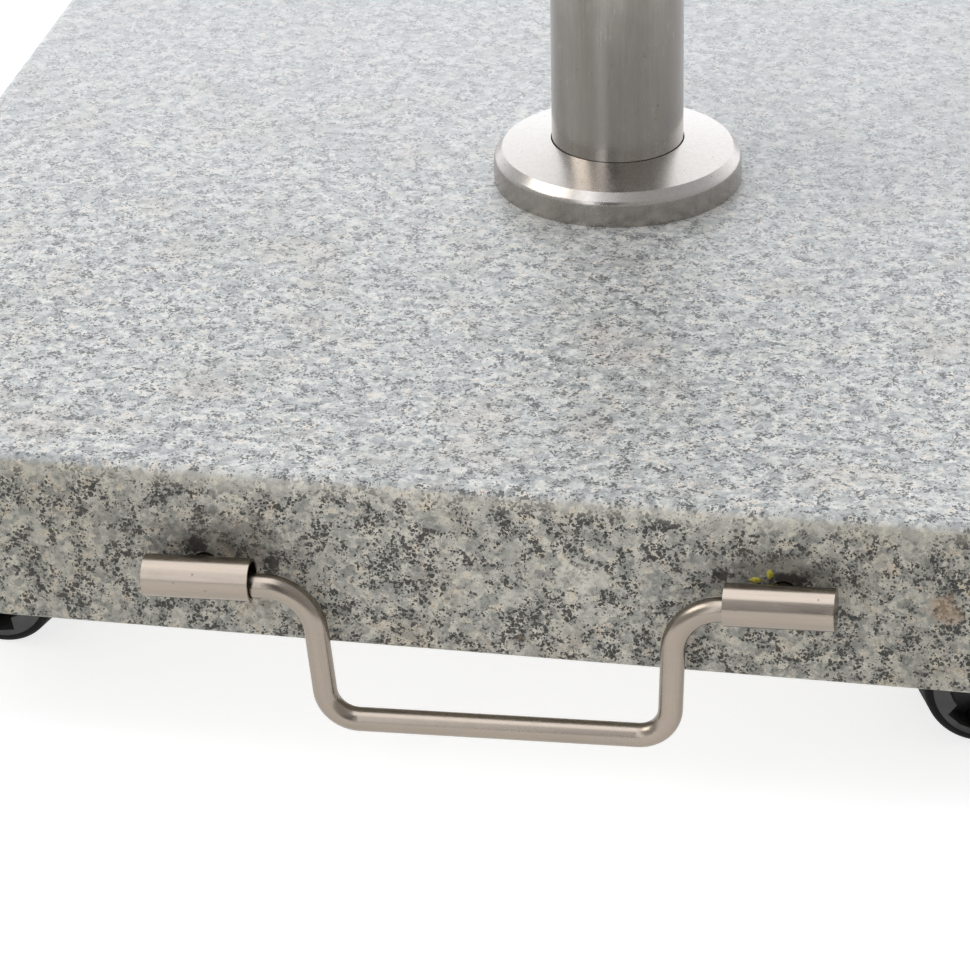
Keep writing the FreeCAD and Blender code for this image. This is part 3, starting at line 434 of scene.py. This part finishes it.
def make_resin():
    """The set resin that squeezed out round a handle stud: dull yellow-green and dusty."""
    s = Shader("resin")
    cloud = s.noise(1.6, 4.0, 0.65).outputs[0]
    colour = s.ramp(cloud, RESIN_TONES)
    return s.finish(colour, s.band(cloud, 0.3, 0.7, 0.35, 0.65), s.bump(cloud, 0.5, 0.3), 0.0)


def make_floor():
    """Pale studio floor that glows a little, so that it stays near white."""
    s = Shader("floor")
    cloud = s.noise(180, 3.0, 0.5).outputs[0]
    colour = s.ramp(cloud, [(0.3, 0.50), (0.7, 0.53)])
    normal = s.bump(s.noise(1.5, 2.0, 0.5).outputs[0], 0.05, 0.1)
    return s.finish(colour, 0.85, normal, 0.0, Specular_IOR_Level=0.2,
                    Emission_Color=(1.0, 1.0, 1.0, 1.0), Emission_Strength=FLOOR_GLOW)


MATERIALS = {
    "granite": make_granite(),
    "sleeve_steel": make_steel("sleeve_steel", WARM_STEEL, ALONG_X, 0.20, 0.26),
    "bar_steel": make_steel("bar_steel", WARM_STEEL, ALONG_BAR, 0.24, 0.29, 0.03, 0.9),
    "stainless": make_steel("stainless", COOL_STEEL, ALONG_Z, 0.16, 0.26),
    "turned_steel": make_steel("turned_steel", COOL_STEEL, ALL_WAYS, 0.20, 0.30),
    "zinc_steel": make_zinc(),
    "black_plastic": make_plastic("black_plastic", (0.020, 0.020, 0.022), 0.42, 0.60, 0.45, 0.35),
    "wheel_plastic": make_plastic("wheel_plastic", (0.022, 0.022, 0.021), 0.34, 0.46, 0.7, 0.12),
    "brake_plastic": make_plastic("brake_plastic", (0.060, 0.061, 0.065), 0.40, 0.56, 0.5, 0.30),
    "plug_plastic": make_plastic("plug_plastic", (0.42, 0.42, 0.40), 0.40, 0.55, 0.6, 0.15),
    "tread": make_tread(),
    "resin": make_resin(),
}


# ---------------------------------------------------------------- looks of the CAD nodes

BEVELLED = ("handle_sleeve_left", "handle_sleeve_right", "clamp_boss_lower", "clamp_boss_upper")
EDGE_WIDTH = 0.00035
SOFT_ANGLE = math.radians(32)


def finish_of(name):
    """The material of a CAD node, from what it is or else from its slot in the record."""
    if name in ("handle_rod", "handle_studs"):
        return "bar_steel"
    if name.startswith(("handle_sleeve", "sleeve_caps")):
        return "sleeve_steel"
    if name in ("flange_cover", "base_flange") or name.startswith("clamp_boss"):
        return "turned_steel"
    return SLOTS[name]


def soften_edges(thing):
    bevel = thing.modifiers.new("worn_edge", "BEVEL")
    bevel.width = EDGE_WIDTH
    bevel.segments = 2
    bevel.limit_method = "ANGLE"
    bevel.angle_limit = SOFT_ANGLE


for name, thing in NODES.items():
    thing.data.materials.clear()
    thing.data.materials.append(MATERIALS[finish_of(name)])
    for face in thing.data.polygons:
        face.material_index = 0
for name in BEVELLED:
    soften_edges(NODES[name])


# ---------------------------------------------------------------- added details

def add_piece(name, mesh, body, material):
    thing = bpy.data.objects.new(name, mesh)
    thing.data.materials.append(MATERIALS[material])
    for face in mesh.polygons:
        face.use_smooth = True
    bpy.context.scene.collection.objects.link(thing)
    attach(thing, body)
    return thing


def ring_faces(first, second, sides):
    """Quads that join two rings of vertices, given by the number of each ring's first vertex."""
    faces = []
    for side in range(sides):
        after = (side + 1) % sides
        faces.append((first + side, first + after, second + after, second + side))
    return faces


def tube_mesh(name, path, radius_at, sides=10):
    """A closed ring of quads swept along a loop of points."""
    mesh = bpy.data.meshes.new(name)
    verts, faces = [], []
    count = len(path)
    centre = sum(path, Vector()) / count
    for index, point in enumerate(path):
        ahead = (path[(index + 1) % count] - path[index - 1]).normalized()
        outward = (point - centre).normalized()
        side = ahead.cross(outward).normalized()
        outward = side.cross(ahead).normalized()
        radius = radius_at(index)
        for step in range(sides):
            turn = math.tau * step / sides
            verts.append(point + (outward * math.cos(turn) + side * math.sin(turn)) * radius)
    for index in range(count):
        faces += ring_faces(index * sides, (index + 1) % count * sides, sides)
    mesh.from_pydata(verts, [], faces)
    return mesh


TUBE_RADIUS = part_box("stand_tube")[1].x
BOSS_LOW, BOSS_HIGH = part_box("clamp_boss_lower")
BOSS_RADIUS = (BOSS_HIGH.y - BOSS_LOW.y) / 2
WELD_RADIUS = 0.0011
WELD_STANDOFF = WELD_RADIUS * 0.35
WELD_BEADS = 34
BEAD_STEPS = 8
BEAD_RIPPLE = 0.14
BEAD_DRIFT = 0.22
DRIFT_SCALE = 400


def add_boss_weld(name):
    """A small fillet weld, a row of overlapping beads, where the boss meets the tube."""
    low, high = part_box("clamp_boss_" + name)
    middle = (low.z + high.z) / 2
    steps = WELD_BEADS * BEAD_STEPS
    reach = BOSS_RADIUS + WELD_STANDOFF
    path = []
    for step in range(steps):
        turn = math.tau * step / steps
        y = reach * math.cos(turn)
        x = math.sqrt((TUBE_RADIUS + WELD_STANDOFF) ** 2 - y * y)
        path.append(Vector((x, y, middle + reach * math.sin(turn))))

    def radius_at(step):
        ripple = BEAD_RIPPLE * math.sin(math.tau * step / BEAD_STEPS)
        drift = BEAD_DRIFT * noise.noise(path[step] * DRIFT_SCALE)
        return WELD_RADIUS * (1 + ripple + drift)

    add_piece("weld_" + name, tube_mesh("weld_" + name, path, radius_at), "base", "turned_steel")


THREAD_PITCH = 0.00125
THREAD_DEPTH = 0.00055
THREAD_SIDES = 28
PITCH_ROWS = 6
THREAD_RUNOUT = 0.0002
TIP_LENGTH = 0.0022
TIP_RADIUS = 0.0025
TIP_CHAMFER = 0.0004
TIP_CHAMFER_SHARE = 0.86
TIP_SHOULDER = 0.0001


def thread_radius(outer, row, side):
    """The radius of a screw with flat crests and roots, at a row along it and a side about it."""
    phase = (row / PITCH_ROWS + side / THREAD_SIDES) % 1
    ridge = 1 - abs(2 * phase - 1)
    return outer - THREAD_DEPTH * min(1.0, max(0.0, 1.25 - 1.5 * ridge))


def add_clamp_thread(name):
    """The clamp screw with its real thread, in place of the plain bar."""
    node = "clamp_screw_" + name
    low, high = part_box(node)
    middle_z = (low.z + high.z) / 2
    outer = (high.z - low.z) / 2
    tip_end = low.x + TIP_LENGTH
    start = tip_end + THREAD_RUNOUT
    rows = int((high.x - THREAD_RUNOUT - start) / THREAD_PITCH * PITCH_ROWS)
    plain_rings = (
        (low.x, TIP_RADIUS * TIP_CHAMFER_SHARE),
        (low.x + TIP_CHAMFER, TIP_RADIUS),
        (tip_end - TIP_SHOULDER, TIP_RADIUS),
        (tip_end, outer - THREAD_DEPTH),
    )
    rings = [(x, [radius] * THREAD_SIDES) for x, radius in plain_rings]
    for row in range(rows + 1):
        radii = [thread_radius(outer, row, side) for side in range(THREAD_SIDES)]
        rings.append((start + row * THREAD_PITCH / PITCH_ROWS, radii))

    verts, faces = [], []
    for x, radii in rings:
        for side, radius in enumerate(radii):
            turn = math.tau * side / THREAD_SIDES
            verts.append((x, radius * math.cos(turn), middle_z + radius * math.sin(turn)))
    for index in range(len(rings) - 1):
        faces += ring_faces(index * THREAD_SIDES, (index + 1) * THREAD_SIDES, THREAD_SIDES)
    faces.append(tuple(range(THREAD_SIDES)))
    faces.append(tuple(reversed(range(len(verts) - THREAD_SIDES, len(verts)))))
    mesh = bpy.data.meshes.new("thread_" + name)
    mesh.from_pydata(verts, [], faces)
    thing = add_piece("thread_" + name, mesh, "clamp_knob_" + name, "zinc_steel")
    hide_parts(node)


# name, offset from the left end of the right sleeve on the face, radii, seed
RESIN_BLOBS = (
    ("resin_a", (0.0088, 0.0000, 0.0042), (0.0019, 0.0008, 0.0009), 3.1),
    ("resin_b", (0.0134, 0.0000, 0.0066), (0.0010, 0.0006, 0.0017), 7.7),
    ("resin_c", (0.0177, -0.0006, 0.0000), (0.0052, 0.0012, 0.0030), 1.9),
)
COARSE_LUMPS, COARSE_LUMP_SCALE = 0.42, 2.3
FINE_LUMPS, FINE_LUMP_SCALE = 0.16, 6.1


def add_resin(name, centre, reach, seed):
    """A ragged bead of set resin on the face of the stone."""
    mesh = bpy.data.meshes.new(name)
    shape = bmesh.new()
    bmesh.ops.create_icosphere(shape, subdivisions=4, radius=1.0)
    for vert in shape.verts:
        push = 1 + COARSE_LUMPS * noise.noise(vert.co * COARSE_LUMP_SCALE + Vector((seed, 0, 0)))
        push += FINE_LUMPS * noise.noise(vert.co * FINE_LUMP_SCALE + Vector((0, seed, 0)))
        vert.co = Vector([x * size for x, size in zip(vert.co, reach)]) * push + centre
    shape.to_mesh(mesh)
    shape.free()
    add_piece(name, mesh, "base", "resin")


def add_resin_blobs():
    low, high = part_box("handle_sleeve_right")
    middle = (low.z + high.z) / 2
    for name, (along, out, up), radii, seed in RESIN_BLOBS:
        add_resin(name, Vector((low.x + along, FACE_Y + out, middle + up)), Vector(radii), seed)


for side in ("lower", "upper"):
    add_boss_weld(side)
    add_clamp_thread(side)
add_resin_blobs()


# ---------------------------------------------------------------- floor, light and camera

FLOOR_HALF = 30.0
SKY_STRENGTH = 0.80

# the dome's colour from the front (0) to the back (1)
DOME_FRONT = (0.10, (0.66, 0.66, 0.66))
DOME_MIDDLE = ((0.45, (0.80, 0.83, 0.87)), (0.66, (1.00, 1.04, 1.10)))
DOME_BACK = (0.90, (2.45, 2.54, 2.68))

# each edge is an axis of the sky direction, where the patch is still off and where it is full
STRIP_COLOUR = (3.45, 3.52, 3.72)
STRIP_EDGES = (("Z", -0.03, 0.15), ("X", -0.44, -0.32), ("X", 0.14, 0.04), ("Y", 0.55, 0.40))
FLAG_COLOUR = (0.04, 0.05, 0.08)
FLAG_EDGES = (
    ("Z", 0.00, 0.07),
    ("Z", 0.90, 0.80),
    ("X", -0.200, -0.175),
    ("X", 0.16, 0.10),
    ("Y", -0.2, -0.3),
)

SOFTBOX_AT = (-1.9, -0.6, 1.9)
SOFTBOX_SIDE = 1.4
SOFTBOX_WATTS = 24
SOFTBOX_COLOUR = (1.0, 0.985, 0.96)

CAMERA_AZIMUTH = math.radians(11.529)
CAMERA_ELEVATION = math.radians(28.099)
CAMERA_ROLL = math.radians(-1.192)
CAMERA_DISTANCE = 1.3717
CAMERA_TARGET = Vector((-0.00131, FACE_Y, -0.00335))
CAMERA_LENS_MM = 159.97
CAMERA_SENSOR_MM = 36
CAMERA_CLIP_END = 60


def add_floor():
    half = FLOOR_HALF
    mesh = bpy.data.meshes.new("studio_floor")
    corners = [(-half, -half, FLOOR_Z), (half, -half, FLOOR_Z), (half, half, FLOOR_Z), (-half, half, FLOOR_Z)]
    mesh.from_pydata(corners, [], [(0, 1, 2, 3)])
    floor = bpy.data.objects.new("studio_floor", mesh)
    floor.data.materials.append(make_floor())
    bpy.context.scene.collection.objects.link(floor)


def add_sky():
    """A soft dome, brightest behind the stone, with a bright strip overhead and one dark flag in front."""
    world = bpy.data.worlds.new("studio")
    world.use_nodes = True
    bpy.context.scene.world = world
    nodes, links = world.node_tree.nodes, world.node_tree.links
    direction = nodes.new("ShaderNodeTexCoord")
    split = nodes.new("ShaderNodeSeparateXYZ")
    links.new(direction.outputs["Generated"], split.inputs[0])

    def edge(axis, off, full):
        node = nodes.new("ShaderNodeMapRange")
        node.interpolation_type = "SMOOTHSTEP"
        node.inputs["From Min"].default_value = off
        node.inputs["From Max"].default_value = full
        links.new(split.outputs[axis], node.inputs["Value"])
        return node.outputs[0]

    def patch(edges):
        """The product of soft edges, a box in the sky's direction space."""
        mask, *others = [edge(*limits) for limits in edges]
        for other in others:
            node = nodes.new("ShaderNodeMath")
            node.operation = "MULTIPLY"
            links.new(mask, node.inputs[0])
            links.new(other, node.inputs[1])
            mask = node.outputs[0]
        return mask

    def paint(mask, under, colour):
        node = nodes.new("ShaderNodeMix")
        node.data_type = "RGBA"
        sockets = [socket for socket in node.inputs if socket.type == "RGBA"]
        links.new(mask, node.inputs["Factor"])
        links.new(under, sockets[0])
        sockets[1].default_value = (*colour, 1)
        return next(socket for socket in node.outputs if socket.type == "RGBA")

    ramp = nodes.new("ShaderNodeValToRGB")
    spread = nodes.new("ShaderNodeMapRange")
    spread.inputs["From Min"].default_value = -1.0
    links.new(split.outputs["Y"], spread.inputs["Value"])
    links.new(spread.outputs[0], ramp.inputs[0])
    for element, (position, colour) in zip(ramp.color_ramp.elements, (DOME_FRONT, DOME_BACK)):
        element.position, element.color = position, (*colour, 1)
    for position, colour in DOME_MIDDLE:
        ramp.color_ramp.elements.new(position).color = (*colour, 1)

    sky = paint(patch(STRIP_EDGES), ramp.outputs[0], STRIP_COLOUR)
    sky = paint(patch(FLAG_EDGES), sky, FLAG_COLOUR)
    links.new(sky, nodes["Background"].inputs["Color"])
    nodes["Background"].inputs["Strength"].default_value = SKY_STRENGTH


def add_softbox():
    """A square area light from the left, pointed at the origin."""
    light = bpy.data.lights.new("left", "AREA")
    light.shape = "RECTANGLE"
    light.size, light.size_y = SOFTBOX_SIDE, SOFTBOX_SIDE
    light.energy = SOFTBOX_WATTS
    light.color = SOFTBOX_COLOUR
    lamp = bpy.data.objects.new("left", light)
    lamp.location = SOFTBOX_AT
    lamp.rotation_euler = (-Vector(SOFTBOX_AT)).to_track_quat("-Z", "Y").to_euler()
    bpy.context.scene.collection.objects.link(lamp)


def add_camera():
    """The photograph's view: a long lens, from the front and above, a little to the right."""
    ahead = Vector((
        -math.sin(CAMERA_AZIMUTH) * math.cos(CAMERA_ELEVATION),
        math.cos(CAMERA_AZIMUTH) * math.cos(CAMERA_ELEVATION),
        -math.sin(CAMERA_ELEVATION),
    ))
    right = Vector((math.cos(CAMERA_AZIMUTH), math.sin(CAMERA_AZIMUTH), 0))
    up = right.cross(ahead)
    level_right = right * math.cos(CAMERA_ROLL) + up * math.sin(CAMERA_ROLL)
    level_up = up * math.cos(CAMERA_ROLL) - right * math.sin(CAMERA_ROLL)
    camera = bpy.data.cameras.new("camera")
    camera.lens = CAMERA_LENS_MM
    camera.sensor_width = CAMERA_SENSOR_MM
    camera.clip_end = CAMERA_CLIP_END
    holder = bpy.data.objects.new("camera", camera)
    turn = Matrix((level_right, level_up, -ahead)).transposed()
    holder.matrix_world = Matrix.Translation(CAMERA_TARGET - ahead * CAMERA_DISTANCE) @ turn.to_4x4()
    bpy.context.scene.collection.objects.link(holder)
    bpy.context.scene.camera = holder


add_floor()
add_sky()
add_softbox()
add_camera()
bpy.context.scene.view_settings.view_transform = "Standard"
